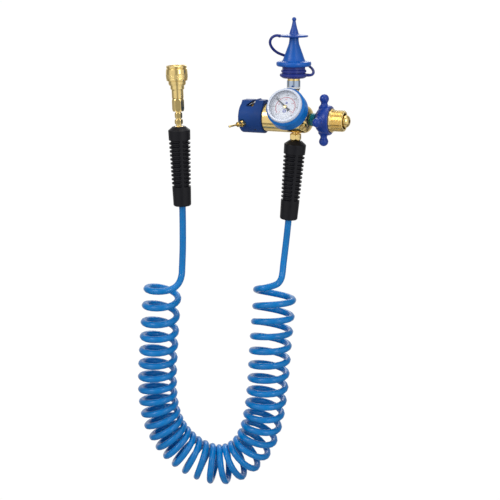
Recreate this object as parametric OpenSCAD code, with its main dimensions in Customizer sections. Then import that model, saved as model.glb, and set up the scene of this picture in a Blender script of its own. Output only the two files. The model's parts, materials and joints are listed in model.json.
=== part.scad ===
// Balloon inflator regulator: cylinder inlet with a handwheel, pressure gauge,
// latex push nozzle, foil nozzle and a recoil extension hose with a coupler.
// The origin is on the inlet axis, where the inlet nut's thread starts.
// +X points into the cylinder valve, -Y to the front and +Z up.

/* [Regulator body] */
// Outer radius of the brass body
body_r = 16; // [15:0.5:17]
// X of the body's left end, inside the cap
body_left = -98; // [-99:0.5:-97]
// X where the body's rounded shoulder starts
shoulder_x = -35; // [-36:0.5:-34]
// Radius of the shoulder's curve
shoulder_r = 9; // [8.5:0.5:9]
// Radius of the piston chamber
chamber_r = 12; // [11.5:0.5:12]

/* [End cap] */
// Outer radius of the cap
cap_r = 18.5; // [18.5:0.5:20]
// X of the cap's closed end
cap_left = -111; // [-112:0.5:-110]
// X of the cap's open end
cap_right = -82; // [-84:0.5:-80]

/* [Inlet] */
// Radius of the inlet nut's thread
thread_r = 12.25; // [12:0.05:12.5]
// Length of the inlet nut's thread
thread_len = 13; // [11:0.5:14]
// Radius of the nipple's shank
nipple_r = 5; // [4.8:0.1:5]
// X of the handwheel's lobes
lobe_x = -11; // [-12:0.5:-10]
// Distance from the axis to a lobe's centre
lobe_reach = 24.6; // [24:0.1:26]
// Radius of a lobe
lobe_r = 5.5; // [5:0.1:6]

/* [Gauge] */
// X of the gauge's axis
gauge_x = -46.5; // [-47:0.5:-46]
// Tilt of the gauge's face above the horizontal
gauge_tilt = 28; // [26:1:30]
// Outer radius of the gauge's rubber boot
boot_r = 23; // [22.8:0.1:24]
// Pointer's angle at rest, from the dial's bottom left end
pointer_rest = 84; // [0:1:200]

/* [Nozzles] */
// X of the push valve's axis
nozzle_x = -48.5; // [-49:0.5:-48]
// Radius of the push nozzle's finger flange
flange_r = 20.15; // [19:0.05:21]
// Travel of the push nozzle
nozzle_travel = 2.2; // [1:0.1:2.2]
// Foil nozzle's turn from the front towards the left
foil_turn = 25; // [20:1:30]
// Foil nozzle's dip below the horizontal
foil_dip = 5; // [0:1:8]

/* [Hose] */
// X of the hose outlet's axis
outlet_x = -45.5; // [-46:0.5:-45]
// Outer diameter of the hose
hose_d = 7.94; // [7.5:0.01:8.2]
// Outer radius of the coiled hose
coil_r = 25; // [23:0.5:26]
// Turn of the hanging loop's plane about the outlet
hang_turn = 22; // [15:1:30]
// Length of a hose grip
grip_len = 94; // [90:1:96]
// Lean of the grip at the regulator
near_lean = 4.5; // [3:0.5:6]
// Lean of the grip at the coupler
far_lean = 1.6; // [0:0.1:3]

/* [Hidden] */
$fn = 64;
fit = 0.1;
seat_x = -60;
chamber_end = -70;
body_right = shoulder_x + shoulder_r;
channel_z = 11;
adapter_z = 9.5;
near_z = -25.1;
far_x = -133;
far_z = -102.5;
foil_base = [-105, -18, -6];
foil_bore_end = -9.3;
relief_x = -31;
relief_dip = 22;
relief_base = 14.5;
screw_dip = 48;
screw_x = -91;
lobes = 4;
balls = 6;
ball_r = 1.6;
socket_r = 6.6;
socket_floor = 158.8;
ball_z = 156.2;
gear_ratio = 6;
pinion_teeth = 8;
pinion_r = 1.2;
sector_r = pinion_r * gear_ratio;

brass = [0.82, 0.68, 0.36];
chrome = [0.78, 0.80, 0.84];
steel = [0.62, 0.63, 0.65];
cap_blue = [0.11, 0.24, 0.55];
wheel_blue = [0.12, 0.24, 0.63];
nozzle_blue = [0.08, 0.31, 0.71];
boot_blue = [0.02, 0.36, 0.67];
hose_blue = [0.02, 0.44, 0.76];
teal = [0.02, 0.47, 0.47];
charcoal = [0.11, 0.11, 0.13];
white = [0.93, 0.93, 0.92];
clear = [0.85, 0.90, 0.94, 0.4];

// Centre line of the coiled hose, from the regulator's side to the coupler's,
// in the hanging loop's own frame
coil_route = [
    [-23, 0, -196], [-23, 0, -206], [-24, 0, -225], [-26, 0, -250], [-28, 0, -275],
    [-29.5, 0, -300], [-31.5, 0, -330], [-35, 0, -360], [-41, 0, -388], [-52, 0, -411],
    [-69, 0, -427], [-90, 0, -433], [-112, 0, -428], [-133, 0, -415], [-150, 0, -396],
    [-161, 0, -373], [-166, 0, -346], [-166.5, 0, -315], [-164.5, 0, -280], [-161.5, 0, -240],
    [-159, 0, -212], [-158, 0, -206], [-158, 0, -198]
];

// Straight hose from the near ferrule down to the coil
near_route = [
    [-2.2, 0, -53], [-4.2, 0, -78], [-5.8, 0, -98], [-7.3, 0, -118], [-9, -0.5, -136],
    [-11, -2.5, -154], [-13.2, -5.8, -172], [-14.6, -9, -184], [-15, -10.5, -190], [-15, -10.5, -196]
];

// Straight hose from the far ferrule down to the coil
far_route = [
    [-134.8, 0, -37], [-134.3, 0, -55], [-133.8, 0, -74], [-133.4, 0, -88], [-133, 0, -102.5],
    [-132.9, 0, -118], [-133, 0, -136], [-133.3, 0, -154], [-133.8, 0, -170], [-134.8, -1, -181],
    [-137.5, -4, -190], [-139, -5.5, -195], [-139, -5.5, -198]
];

// Tether from the foil tip's disc, round behind the nozzle, to the tether ring
strap_route = [
    [-16.45, 0, 94.6], [-19, 0, 95.2], [-22.3, 0.5, 94.6], [-25.5, 1.5, 92.3], [-27.2, 3, 88.7],
    [-26.8, 5, 84.5], [-23.8, 8.5, 79.5], [-18.5, 13.5, 75], [-11.5, 18.5, 71.8], [-3, 22.2, 69],
    [6, 23.8, 66], [13.6, 21.8, 62.7], [18.8, 17.2, 59.2], [22.2, 11, 56], [23, 5.4, 53.4],
    [21.8, 1.6, 51.2], [19.2, 0, 50.3], [16.15, 0, 50.3]
];

// Cylinder of radius r from one height to another
module rod(r, from, to) {
    translate([0, 0, from]) cylinder(r = r, h = to - from);
}

// Hexagonal bar, af across its flats
module hex_bar(af, from, to) {
    translate([0, 0, from]) cylinder(d = af / cos(30), h = to - from, $fn = 6);
}

// Round tube from one height to another
module tube(outer, inner, from, to) {
    difference() {
        rod(outer, from, to);
        rod(inner, from - 1, to + 1);
    }
}

// Solid of revolution from points of radius and height
module lathe(profile) {
    rotate_extrude() polygon(profile);
}

// Ring of round section
module o_ring(ring_r, wire_r, height) {
    translate([0, 0, height]) rotate_extrude() translate([ring_r, 0]) circle(r = wire_r, $fn = 24);
}

// Points on an arc round [x, y]
function arc(x, y, r, from, to, steps = 6) =
    [for (i = [0 : steps]) let (a = from + (to - from) * i / steps) [x + r * cos(a), y + r * sin(a)]];

function unit(v) = v / norm(v);
function tangent(p, i) = unit(p[min(i + 1, len(p) - 1)] - p[max(i - 1, 0)]);
function across(v, t) = unit(v - (v * t) * t);

// First axis of each ring along a path, carried on from ring to ring without twist
function ring_axes(p, seed) =
    [for (i = 0, a = across(seed, tangent(p, 0)); i < len(p); i = i + 1, a = across(a, tangent(p, i))) a];

// Round tube swept along a path
module sweep(path, r, sides, seed = [0, 1, 0]) {
    rings = len(path);
    axes = ring_axes(path, seed);
    points = [
        for (i = [0 : rings - 1], k = [0 : sides - 1])
        path[i] + r * (cos(360 * k / sides) * axes[i]
            + sin(360 * k / sides) * cross(tangent(path, i), axes[i]))
    ];
    walls = [
        for (i = [0 : rings - 2], k = [0 : sides - 1])
        [i * sides + k, i * sides + (k + 1) % sides, (i + 1) * sides + (k + 1) % sides, (i + 1) * sides + k]
    ];
    first = [for (k = [sides - 1 : -1 : 0]) k];
    last = [for (k = [0 : sides - 1]) (rings - 1) * sides + k];
    polyhedron(points = points, faces = concat([first], walls, [last]), convexity = 10);
}

// A route with a point of its smooth curve added halfway between each two of its own
function smooth_route(p) = concat(
    [
        for (i = [0 : len(p) - 2], half = [0, 1])
        let (a = p[max(i - 1, 0)], b = p[i], c = p[i + 1], d = p[min(i + 2, len(p) - 1)])
        half == 0 ? b : (9 * (b + c) - a - d) / 16
    ],
    [p[len(p) - 1]]
);

// Compression spring between two heights
module spring(coil, wire, from, to, turns) {
    steps = 16;
    rise = to - from - 2.2 * wire;
    path = [
        for (i = [0 : turns * steps])
        [coil * cos(360 * i / steps), coil * sin(360 * i / steps), from + 1.1 * wire + rise * i / (turns * steps)]
    ];
    sweep(path, wire, 6, [0, 0, 1]);
}

// Frames: each puts the local z along the named part's axis
module along_x() {
    rotate([0, 90, 0]) children();
}

module gauge_frame() {
    translate([gauge_x, 0, 0]) rotate([90 - gauge_tilt, 0, 0]) children();
}

module relief_frame() {
    translate([relief_x, 0, 0]) rotate([90 + relief_dip, 0, 0]) children();
}

module screw_frame() {
    translate([screw_x, 0, 0]) rotate([90 + screw_dip, 0, 0]) children();
}

module foil_frame() {
    translate(foil_base) rotate([90 + foil_dip, 0, -foil_turn]) children();
}

module nozzle_frame() {
    translate([nozzle_x, 0, 0]) children();
}

module hang_frame() {
    translate([outlet_x, 0, 0]) rotate([0, 0, hang_turn]) children();
}

module near_frame() {
    hang_frame() translate([0, 0, near_z]) rotate([0, near_lean, 0]) children();
}

module far_frame() {
    hang_frame() translate([far_x, 0, far_z]) rotate([0, -far_lean, 0]) children();
}

// ---- Body, cap and pressure control ----

module regulator_body() {
    color(brass) difference() {
        along_x() lathe(concat(
            [[0, body_left], [body_r - 0.6, body_left], [body_r, body_left + 0.6]],
            arc(body_r - shoulder_r, shoulder_x, shoulder_r, 0, 90, 9),
            [[0, body_right]]));
        along_x() rod(chamber_r, body_left - 1, chamber_end);
        along_x() rod(2, chamber_end - 1, seat_x);
        along_x() rod(4, seat_x - 1.5, seat_x);
        along_x() rod(nipple_r, seat_x, body_right + 1);
        along_x() tube(body_r + 1, body_r - 1, -88, -86);
        for (side = [-1, 1]) {
            port_x = side > 0 ? nozzle_x : outlet_x;
            translate([0, 0, side * channel_z]) along_x() rod(1.2, chamber_end - 1, port_x);
        }
        nozzle_frame() rod(nipple_r, adapter_z, body_r + 1);
        translate([outlet_x, 0, 0]) rod(4, -body_r - 1, -adapter_z);
        gauge_frame() rod(4, 8.5, body_r + 1);
        gauge_frame() rod(1, 0, 9);
        relief_frame() rod(2.6, 9, body_r + 1);
        relief_frame() rod(4.6, relief_base, body_r + 2);
        relief_frame() rod(0.8, 0, 10);
        translate([-74, 0, 0]) rod(1.1, -body_r - 1, -chamber_r + 1);
    }
}

module blade_shape() {
    rotate([90, 0, 0]) linear_extrude(height = 14, center = true)
        polygon([[-104.6, 12.6], [-104.3, 12.2], [-97.2, 16.5], [-97.5, 16.9]]);
}

module end_cap() {
    color(cap_blue) difference() {
        union() {
            along_x() lathe(concat(
                [[0, cap_left], [cap_r - 1.2, cap_left], [cap_r, cap_left + 1.2]],
                [[cap_r, cap_right - 0.8], [cap_r - 0.8, cap_right], [0, cap_right]]));
            translate([cap_left + 1.2, 0, 0]) rotate([90, 0, 90])
                linear_extrude(height = cap_right - cap_left - 2)
                    polygon([[13.2, 12.6], [7, 20.2], [-7, 20.2], [-13.2, 12.6]]);
            rotate([90, 0, 0]) linear_extrude(height = 12, center = true)
                polygon([[-93, 16], [-92.9, 20.6], [-91.9, 21.7], [-90.9, 21.5], [-89.6, 20], [-89.6, 16]]);
        }
        along_x() rod(body_r, body_left, cap_right + 1);
        rotate([90, 0, 0]) linear_extrude(height = 50, center = true)
            polygon([[-97.8, 24], [-97.4, 18.9], [-102.6, 15], [-102.9, 13.4], [-94, 13.2], [-92.9, 19.4], [-92.9, 24]]);
        blade_shape();
        foil_frame() rod(3.3, foil_bore_end, 4);
        foil_frame() rod(4.7, -1.2, 4);
        translate([0, -12.6, -5.6]) along_x() rod(0.8, -103, body_left + 1);
        screw_frame() rod(1.5, body_r - 0.5, cap_r + 1);
    }
}

module cutter_blade() {
    color(steel) blade_shape();
}

module cap_set_screw() {
    color(charcoal) screw_frame() difference() {
        rod(1.5, body_r, body_r + 2);
        hex_bar(1.5, body_r + 0.9, body_r + 3);
    }
}

module cap_seal() {
    color(charcoal) along_x() o_ring(body_r - 0.52, 0.46, -87);
}

module spring_plate() {
    color(brass) along_x() difference() {
        rod(chamber_r, body_left, body_left + 3.5);
        hex_bar(6, body_left - 1, body_left + 2.5);
    }
}

module regulating_spring() {
    color(steel) along_x() spring(8, 1.1, body_left + 3.6, -77.1, 5);
}

module regulating_piston() {
    color(brass) along_x() difference() {
        union() {
            rod(chamber_r - 0.06, -77, -71.5);
            rod(6, -81, -77);
            rod(1.2, -71.5, -58.8);
        }
        tube(chamber_r + 1, chamber_r - 1.1, -75.2, -73.2);
    }
}

module piston_seal() {
    color(charcoal) along_x() o_ring(chamber_r - 0.62, 0.45, -74.2);
}

module inlet_poppet() {
    color(brass) along_x() {
        hex_bar(7.6, -58.8, -54.4);
        rod(2.6, -54.4, -51);
    }
}

module poppet_spring() {
    color(steel) along_x() spring(3.4, 0.5, -54.3, -37.2, 7);
}

module valve_seat() {
    color(white) along_x() tube(4, 2, seat_x - 1.5, seat_x);
}

// ---- Inlet ----

module inlet_nipple() {
    color(brass) difference() {
        along_x() lathe(concat(
            [[0, -37], [nipple_r, -37], [nipple_r, 2.2], [8.4, 2.2], [8.4, 5], [7.4, 6.5]],
            arc(2.2, 14.8, 5.2, 10, 90, 6),
            [[0, 20]]));
        along_x() rod(2.2, -38, 21);
        along_x() rod(3, -38, -33);
        relief_frame() rod(0.8, 0, nipple_r + 1);
    }
}

module inlet_filter() {
    color([0.70, 0.52, 0.33]) along_x() rod(3, -37, -33);
}

module spacer_ring() {
    color(teal) along_x() difference() {
        lathe([[0, body_right], [6.9, body_right], [7.5, body_right + 0.6],
            [7.5, -21.1], [6.9, -20.5], [0, -20.5]]);
        rod(nipple_r, body_right - 1, -20);
    }
}

module inlet_nut() {
    color(brass) along_x() difference() {
        union() {
            rod(7, -20, -17);
            hex_bar(19, -17, -5);
            rod(13.6, -5, 0);
            rod(thread_r, 0, thread_len);
            translate([0, 0, thread_len]) cylinder(r1 = thread_r, r2 = thread_r - 1, h = 1);
        }
        rod(nipple_r + fit, -21, 3);
        rod(9.2, 1.8, thread_len + 2);
    }
}

// One arm of the handwheel, along the local z
module handwheel_arm() {
    rotate_extrude() polygon(concat(
        [[0, 12], [6.6, 12], [6.4, 15.5]],
        arc(7.4, 19.6, 3.6, 225, 155, 5),
        arc(0, lobe_reach, lobe_r, -48, 90, 12)));
}

module handwheel() {
    color(wheel_blue) difference() {
        union() {
            along_x() lathe([[0, -20.2], [7.6, -20.2], [9.4, -19.6], [12.4, -17.6], [14.8, -14.6],
                [16.3, -11], [17.1, -7.4], [17.2, -4.6], [16.4, -2.3], [0, -2.3]]);
            for (i = [0 : lobes - 1])
                translate([lobe_x, 0, 0]) rotate([i * 360 / lobes, 0, 0]) handwheel_arm();
        }
        along_x() rod(7, -21, -17);
        along_x() hex_bar(19, -17, -4);
        along_x() rod(13.6, -5, -1);
    }
}

// ---- Gauge ----

module gauge_stem() {
    color(brass) gauge_frame() difference() {
        union() {
            rod(4, 8.5, 28);
            hex_bar(10.5, 16.4, 21.2);
            rod(5.5, 24, 30.5);
        }
        rod(1, 8, 29);
        translate([0, 0, 28]) rotate([0, 90, 60]) rod(0.6, 0, 8);
    }
}

module gauge_boot() {
    color(boot_blue) gauge_frame() difference() {
        lathe(concat([[0, 21.5]], arc(boot_r - 2, 23.5, 2, -90, 0, 4), arc(boot_r - 0.8, 38.2, 0.8, 0, 90, 3), [[0, 39]]));
        rod(boot_r - 1.4, 22.9, 40);
        rod(6.2, 21, 24);
    }
}

module gauge_case() {
    color(steel) gauge_frame() difference() {
        rod(boot_r - 1.4, 22.9, 38.6);
        rod(boot_r - 2.2, 23.7, 39);
        rod(4, 22, 24);
    }
}

module bourdon_tube() {
    color(brass) gauge_frame() translate([0, 0, 28]) {
        rotate([0, 0, 60]) rotate_extrude(angle = 250) translate([14, 0]) circle(r = 1.1, $fn = 20);
        rotate([0, 90, 60]) rod(1.1, 5.6, 14);
    }
}

module movement_plate() {
    color(brass) gauge_frame() difference() {
        union() {
            rod(10.5, 30.5, 31.3);
            translate([0, -sector_r - pinion_r, 31.3]) cylinder(r = 0.6, h = 1.8);
        }
        rod(0.7, 30, 32);
    }
}

// Flat toothed wheel; teeth narrower than their gaps, so that they turn freely
module toothed(r, teeth, thick) {
    pitch = 360 / teeth;
    linear_extrude(height = thick) union() {
        circle(r = r - 0.32);
        for (i = [0 : teeth - 1]) rotate(i * pitch)
            polygon([[0, -0.24], [r - 0.3, -0.24], [r + 0.22, -0.09], [r + 0.22, 0.09], [r - 0.3, 0.24], [0, 0.24]]);
    }
}

module sector_gear() {
    color(brass) gauge_frame() translate([0, -sector_r - pinion_r, 31.5]) difference() {
        intersection() {
            rotate(90) toothed(sector_r, pinion_teeth * gear_ratio, 0.8);
            linear_extrude(height = 2, center = true)
                polygon([[0, -3], [3.2, -2], [7.5, 5], [4, 10], [-4, 10], [-7.5, 5], [-3.2, -2]]);
        }
        rod(0.68, -1, 2);
    }
}

module pinion_shaft() {
    color(steel) gauge_frame() {
        rod(0.6, 30.6, 38.2);
        translate([0, 0, 31.4]) rotate(270 + 180 / pinion_teeth) toothed(pinion_r, pinion_teeth, 1);
    }
}

module gauge_dial() {
    color(white) gauge_frame() difference() {
        rod(boot_r - 2.3, 36, 36.6);
        rod(1.2, 35, 38);
    }
}

module gauge_pointer() {
    color(charcoal) gauge_frame() rotate(225 - pointer_rest) difference() {
        union() {
            rod(1.9, 37.2, 38.6);
            translate([0, 0, 37.3]) linear_extrude(height = 0.4)
                polygon([[-6, -1.2], [-5, -1.5], [-3.4, -0.8], [0, -0.8], [15.6, -0.15], [15.6, 0.15],
                    [0, 0.8], [-3.4, 0.8], [-5, 1.5], [-6, 1.2]]);
        }
        rod(0.6, 37, 38.2);
    }
}

module gauge_bezel() {
    color(chrome) gauge_frame() difference() {
        lathe(concat([[0, 38.6], [21.4, 38.6]], arc(20.2, 41.8, 1.2, 0, 90, 4), [[0, 43]]));
        rod(19.6, 38, 44);
    }
}

module gauge_lens() {
    color(clear) gauge_frame() rod(19.6, 40.8, 42.3);
}

// ---- Push valve and latex nozzle ----

module valve_adapter() {
    color(brass) nozzle_frame() difference() {
        union() {
            rod(nipple_r, adapter_z, 16.2);
            hex_bar(15.6, 16.2, 27);
            rod(6.6, 27, 34);
            rod(6, 34, 39.5);
        }
        rod(3, adapter_z - 1, 30);
        rod(1.8, 29, 32);
        rod(4.6, 31, 40);
    }
}

module adapter_gasket() {
    color(charcoal) nozzle_frame() tube(7.5, 6, 34, 35);
}

module white_washer() {
    color(white) nozzle_frame() tube(7.9, 6, 35, 37.2);
}

module valve_barrel() {
    color(chrome) nozzle_frame() difference() {
        rod(7.85, 37.2, 44.3);
        rod(6, 37, 40);
        rod(7.4, 39.5, 45);
    }
}

module valve_spring() {
    color(steel) nozzle_frame() spring(3.4, 0.5, 31.1, 41.9, 5);
}

module valve_plunger() {
    color(brass) nozzle_frame() difference() {
        union() {
            rod(7.3, 42, 47);
            rod(5.4, 47, 59);
            rod(1.5, 24.5, 42);
        }
        rod(2, 43.5, 60);
        rod(0.7, 33, 44);
        translate([0, 0, 33.6]) rotate([0, 90, 0]) rod(0.5, -2, 2);
    }
}

module valve_seal() {
    color(charcoal) nozzle_frame() tube(2.7, 1.5, 27.4, 29.9);
}

module tether_ring() {
    color(cap_blue) nozzle_frame() difference() {
        lathe([[0, 47], [12.6, 47], [16, 49.4], [16.15, 51], [15.2, 52.2], [13.4, 52.9], [13.2, 53.7], [0, 53.7]]);
        rod(5.4, 46, 55);
    }
}

module push_nozzle() {
    color(nozzle_blue) nozzle_frame() difference() {
        lathe(concat(
            [[0, 53.7], [14.5, 53.7], [14.5, 56.2], [13.2, 56.9], [13.2, 60.3], [flange_r - 2.6, 60.3]],
            arc(flange_r - 2.4, 62.7, 2.4, -80, 0, 4),
            arc(flange_r - 2.4, 63.6, 2.4, 0, 75, 4),
            [[13.6, 66], [12.7, 66.9], [5.7, 86.6], [5.4, 92.4], [0, 92.4]]));
        rod(5.4, 53, 59);
        rod(3.3, 58, 93);
    }
}

module foil_tip() {
    color(nozzle_blue) nozzle_frame() difference() {
        union() {
            rod(3.2, 84.5, 93);
            lathe(concat(
                [[0, 92.5], [5.6, 92.5], [6.5, 93], [15.4, 93.5], [16.3, 94.3], [16.3, 95], [15.6, 95.8],
                    [6, 96.7], [5, 97.4], [2.1, 108.4]],
                arc(1.2, 110.2, 1.3, -40, 0, 3),
                arc(1.1, 114.4, 1.4, 0, 90, 4),
                [[0, 115.8]]));
        }
        rod(1, 84, 117);
    }
}

module tether_strap() {
    color(wheel_blue) nozzle_frame() rotate([0, 0, hang_turn])
        sweep(smooth_route(strap_route), 1.4, 8, [0, 0, 1]);
}

// ---- Foil valve ----

module foil_valve_body() {
    color(brass) foil_frame() difference() {
        union() {
            rod(3.3, foil_bore_end, 0.4);
            hex_bar(7.4, 0.4, 2.6);
            rod(3.1, 2.6, 7.6);
            translate([0, 0, 7.6]) cylinder(r1 = 3.1, r2 = 2.5, h = 0.6);
        }
        rod(2, -8, 7);
        rod(1.25, 6, 9);
        rod(0.6, foil_bore_end - 1, -7);
        translate([0, 0, -6]) rotate([0, 90, 0]) rod(0.5, 0, 4);
    }
}

module foil_nozzle_tube() {
    color(brass) foil_frame() difference() {
        union() {
            rod(1.15, -1, 20);
            rod(1.9, -3, -1);
            rod(1.9, 4.8, 6.9);
            translate([0, 0, 20]) sphere(r = 1.5, $fn = 32);
        }
        rod(0.6, 0, 22);
    }
}

module foil_valve_spring() {
    color(steel) foil_frame() spring(1.35, 0.3, -7.9, -3.1, 4);
}

// ---- Relief valve ----

module relief_body() {
    color(brass) relief_frame() difference() {
        union() {
            rod(2.6, 9, relief_base);
            hex_bar(7.6, relief_base, 18.5);
            rod(3.5, 18.5, 20.8);
        }
        rod(0.8, 8, 12);
        rod(1.9, 11, 20);
        rod(1, 19, 22);
    }
}

module relief_poppet() {
    color(brass) relief_frame() {
        rod(1.8, 11.05, 12.6);
        rod(0.9, 12.6, 20.9);
    }
}

module relief_spring() {
    color(steel) relief_frame() spring(1.35, 0.25, 12.7, 19.9, 6);
}

// ---- Outlet, hose and grips ----

module outlet_fitting() {
    color(brass) translate([outlet_x, 0, 0]) difference() {
        union() {
            rod(4, -17.6, -adapter_z);
            intersection() {
                rotate(hang_turn) hex_bar(13, -24.6, -16.6);
                lathe(concat([[0, -24.6], [5.4, -24.6]], arc(3.2, -20.6, 4.6, -60, 60, 10), [[5.4, -16.6], [0, -16.6]]));
            }
            rod(3, -26.4, -24.6);
        }
        rod(1.6, -27, -adapter_z + 1);
    }
}

// Hose ferrule below a fitting, along the local -z
module ferrule(from, to) {
    difference() {
        rod(5, to, from);
        rod(1.6, to + 3, from + 1);
    }
}

// Rubber grip along -z, with grooves that stop at a rib on its front and one on its back
module grip() {
    wide_r = 13.1;
    narrow_r = 10.4;
    grooves = 12;
    groove_pitch = 4.7;
    groove_top = 16;
    rib_w = 3.6;
    rib_turn = 12;
    taper = (wide_r - narrow_r) / grip_len;
    difference() {
        lathe([[0, 0], [7.2, 0], [wide_r - 0.3, -4.4], [wide_r - 0.2, -5.2], [narrow_r + 0.1, 1 - grip_len],
            [narrow_r - 0.9, -grip_len], [0, -grip_len]]);
        for (i = [0 : grooves - 1]) {
            top = -groove_top - i * groove_pitch;
            r = wide_r + taper * top;
            difference() {
                tube(r + 2, r - 1.7, top - 2.3, top);
                rotate(90 + rib_turn) translate([-20, -rib_w / 2, top - 3]) cube([40, rib_w, 4]);
            }
        }
        rod(5.6, -28, 1);
        rod(hose_d / 2 + 0.15, -grip_len - 1, -27);
    }
}

module near_ferrule() {
    color(brass) near_frame() ferrule(-1.6, -27.9);
}

module near_grip() {
    color(charcoal) near_frame() grip();
}

module hose_tail_near() {
    color(hose_blue) hang_frame() sweep(near_route, hose_d / 2, 10);
}

module hose_coil() {
    color(hose_blue) hang_frame() sweep(smooth_route(coil_route), coil_r, 14);
}

module hose_tail_far() {
    color(hose_blue) hang_frame() sweep(far_route, hose_d / 2, 10);
}

module far_grip() {
    color(charcoal) far_frame() translate([0, 0, grip_len]) grip();
}

module far_ferrule() {
    color(brass) far_frame() difference() {
        union() {
            translate([0, 0, grip_len]) ferrule(0, -27.9);
            rod(3.2, 94, 96.5);
            hex_bar(8.5, 96.5, 102.2);
        }
        rod(1.6, 69, 103);
    }
}

// ---- Quick coupler ----

module far_nipple() {
    color(brass) far_frame() difference() {
        union() {
            rod(3, 102.2, 103.3);
            hex_bar(7.8, 103.3, 110);
            rod(3, 110, 111.6);
            intersection() {
                hex_bar(12.4, 111.6, 126.2);
                lathe([[0, 111.6], [6.4, 111.6], [7.4, 112.8], [7.4, 125], [6.4, 126.2], [0, 126.2]]);
            }
            rod(4.8, 126.2, 132);
        }
        rod(1.6, 102, 133);
    }
}

module coupler_body() {
    color(brass) far_frame() difference() {
        lathe([[0, 126.2], [6.5, 126.2], [6.85, 126.8], [6.85, 136], [7.4, 137], [8, 137], [8, 141.4],
            [9.5, 141.6], [9.5, 143.4], [8.2, 143.4], [8.2, 162.6], [7.8, 163.2], [0, 163.2]]);
        rod(4.8, 126, 132);
        rod(1.8, 131, 135);
        rod(4.2, 134, 146.5);
        rod(6, 146, 164);
        rod(socket_r, socket_floor, 164);
        tube(7.1, 5.9, 149, 151);
        for (i = [0 : balls - 1])
            rotate(i * 360 / balls) translate([0, 0, ball_z]) rotate([0, 90, 0]) rod(ball_r + 0.05, 4, 9);
    }
}

module coupler_sleeve() {
    color(brass) far_frame() difference() {
        lathe(concat(
            [[0, 142.6], [9.9, 142.6], [10.1, 143], [10.1, 146.2], [11.7, 146.6]],
            arc(-28, 153.4, 40.6, -9.4, 9.4, 8),
            [[11.2, 160.4], [11.2, 161], [11.8, 161.4], [11.8, 163.6], [11.3, 164], [0, 164]]));
        rod(9.6, 142, 152.9);
        rod(8.3, 152, 161);
        rod(9.6, 159, 165);
    }
}

module coupler_spring() {
    color(steel) far_frame() spring(9, 0.5, 143.5, 152.8, 4);
}

module locking_balls() {
    color(steel) far_frame()
        for (i = [0 : balls - 1])
            rotate(i * 360 / balls) translate([6.6, 0, ball_z]) sphere(r = ball_r, $fn = 32);
}

module coupler_seal() {
    color(charcoal) far_frame() o_ring(6.2, 0.85, 150);
}

module coupler_valve() {
    color(brass) far_frame() {
        rod(4.1, 141, 145.5);
        rod(1.5, 145.5, 147.4);
        rod(3, 137.6, 141);
    }
}

regulator_body();
end_cap();
cutter_blade();
cap_set_screw();
cap_seal();
spring_plate();
regulating_spring();
regulating_piston();
piston_seal();
inlet_poppet();
poppet_spring();
valve_seat();
inlet_nipple();
inlet_filter();
spacer_ring();
inlet_nut();
handwheel();
gauge_stem();
gauge_boot();
gauge_case();
bourdon_tube();
movement_plate();
sector_gear();
pinion_shaft();
gauge_dial();
gauge_pointer();
gauge_bezel();
gauge_lens();
valve_adapter();
adapter_gasket();
white_washer();
valve_barrel();
valve_spring();
valve_plunger();
valve_seal();
tether_ring();
push_nozzle();
foil_tip();
tether_strap();
foil_valve_body();
foil_nozzle_tube();
foil_valve_spring();
relief_body();
relief_poppet();
relief_spring();
outlet_fitting();
near_ferrule();
near_grip();
hose_tail_near();
hose_coil();
hose_tail_far();
far_grip();
far_ferrule();
far_nipple();
coupler_body();
coupler_sleeve();
coupler_spring();
locking_balls();
coupler_seal();
coupler_valve();
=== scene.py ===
"""Looks for a balloon inflator regulator with a coiled hose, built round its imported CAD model.

Shapes are in millimetres in the local frame of the part they belong to, as in the CAD source,
and are placed in the row frame, in metres, by the frames below.
"""

import json
import math

import bpy
from mathutils import Matrix, Vector


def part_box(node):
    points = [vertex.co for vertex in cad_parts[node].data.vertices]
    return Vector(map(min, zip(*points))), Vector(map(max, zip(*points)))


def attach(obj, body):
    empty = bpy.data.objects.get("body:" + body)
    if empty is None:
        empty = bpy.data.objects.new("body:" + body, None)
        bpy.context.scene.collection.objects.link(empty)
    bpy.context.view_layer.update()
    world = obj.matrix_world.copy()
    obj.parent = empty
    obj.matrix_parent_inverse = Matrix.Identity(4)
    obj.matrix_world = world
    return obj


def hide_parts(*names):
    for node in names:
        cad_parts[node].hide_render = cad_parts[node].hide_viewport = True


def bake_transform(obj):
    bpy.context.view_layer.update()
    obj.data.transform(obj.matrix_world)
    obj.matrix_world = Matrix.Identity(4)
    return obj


MM = 0.001
X, Y, Z = Vector((1, 0, 0)), Vector((0, 1, 0)), Vector((0, 0, 1))
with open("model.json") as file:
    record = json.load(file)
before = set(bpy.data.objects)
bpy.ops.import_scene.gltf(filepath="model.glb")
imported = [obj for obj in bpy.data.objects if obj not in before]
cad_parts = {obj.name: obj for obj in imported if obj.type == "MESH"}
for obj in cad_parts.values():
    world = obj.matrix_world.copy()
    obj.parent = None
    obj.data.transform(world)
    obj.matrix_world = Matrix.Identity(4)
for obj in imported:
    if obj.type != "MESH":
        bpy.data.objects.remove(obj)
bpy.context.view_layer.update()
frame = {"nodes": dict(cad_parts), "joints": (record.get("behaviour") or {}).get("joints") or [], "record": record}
ROOT = "regulator"


# ---- Frames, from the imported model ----

def joint_axis(name):
    return Vector(next(j for j in frame["joints"] if j["name"] == name)["axis"])


def joint_place(name):
    return Vector(next(j for j in frame["joints"] if j["name"] == name)["pos_m"])


def mount_place(name):
    return Vector(next(m for m in frame["record"]["mounts"] if m["name"] == name)["pos_m"])


def middle(node):
    low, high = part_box(node)
    return (low + high) / 2


def frame_at(origin, z, x=X):
    """A frame at origin, with its local z along z and its local x as near x as it can be."""
    z = Vector(z).normalized()
    x = (x - x.dot(z) * z).normalized()
    made = Matrix((x, z.cross(x), z)).transposed().to_4x4()
    made.translation = origin
    return made


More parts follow.
